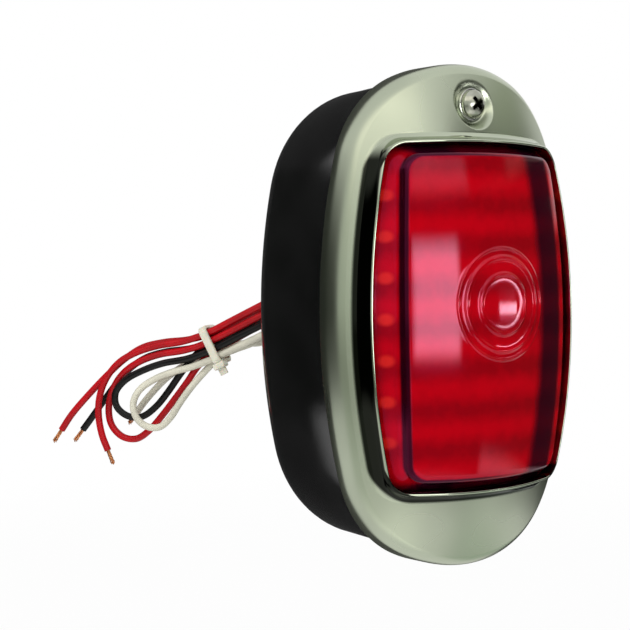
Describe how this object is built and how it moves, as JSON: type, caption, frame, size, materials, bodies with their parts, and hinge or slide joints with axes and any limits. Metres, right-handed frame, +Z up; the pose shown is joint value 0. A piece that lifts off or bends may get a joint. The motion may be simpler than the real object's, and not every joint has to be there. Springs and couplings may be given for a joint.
{
  "type": "vehicle tail light",
  "caption": "Barrel-shaped tail light with a black pressed housing, a domed steel bezel, a red moulded lens over a diode board, two rear studs and a tied bundle of wires.",
  "frame": {"origin": "the middle of the two mounting studs, in the rear face of the rubber pad", "axes": "+Y out of the back along the studs, so the lens looks along -Y; +Z up; +X to the right as seen from the front"},
  "size_m": [0.1195, 0.1835, 0.165],
  "materials": {
    "housing_black": "smooth gloss black enamel",
    "bezel_steel": "satin polished stainless steel",
    "lens_red": "clear red moulded plastic",
    "seal_rubber": "soft black rubber",
    "clip_steel": "spring steel",
    "screw_steel": "bright stainless steel",
    "zinc_plate": "zinc plated",
    "board_green": "green solder mask",
    "led_lens": "clear epoxy with a faint red tint",
    "resistor_body": "pale blue lacquer with plain colour bands",
    "component_black": "black moulded body",
    "capacitor_sleeve": "dark blue sleeve",
    "standoff_brass": "turned brass",
    "pad_rubber": "matt black rubber",
    "wire_red": "red wire insulation",
    "wire_black": "black wire insulation",
    "wire_white": "off-white wire insulation",
    "wire_copper": "bare stranded copper",
    "tie_nylon": "natural nylon"
  },
  "bodies": {
    "base": {"housing": "housing_black", "rim_seal": "seal_rubber", "screw_bracket": "housing_black", "screw_nut": "zinc_plate", "hinge_bracket": "housing_black", "circuit_board": "board_green", "leds": "led_lens", "resistors": "resistor_body", "rectifier_diodes": "component_black", "capacitor": "capacitor_sleeve", "board_screws": "zinc_plate", "board_standoffs": "standoff_brass", "board_bracket": "zinc_plate", "mount_studs": "zinc_plate", "mount_pad": "pad_rubber", "wire_grommet": "pad_rubber", "inner_leads": "wire_red", "red_wire_1": "wire_red", "red_wire_2": "wire_red", "black_wire": "wire_black", "white_wire": "wire_white", "wire_ends": "wire_copper", "cable_tie": "tie_nylon"},
    "front": {"bezel": "bezel_steel", "lens": "lens_red", "lens_gasket": "seal_rubber", "lens_clips": "clip_steel", "bezel_tongue": "bezel_steel"},
    "washer": {"screw_washer": "screw_steel"},
    "screw": {"bezel_screw": "screw_steel"}
  },
  "joints": [
    {"name": "bezel_swing", "type": "hinge", "parent": "base", "child": "front", "pos_m": [0, -0.0495, -0.0735], "axis": [1, 0, 0], "range_deg": [0, 25]},
    {"name": "screw_travel", "type": "slide", "parent": "front", "child": "washer", "axis": [0, -1, 0], "range_m": [0, 0.009]},
    {"name": "screw_turn", "type": "hinge", "parent": "washer", "child": "screw", "pos_m": [0, -0.065, 0.069], "axis": [0, -1, 0], "range_deg": [0, 4050]}
  ],
  "couplings": [
    {"joint": "screw_turn", "follows": "screw_travel", "rad_per_m": 7854}
  ]
}
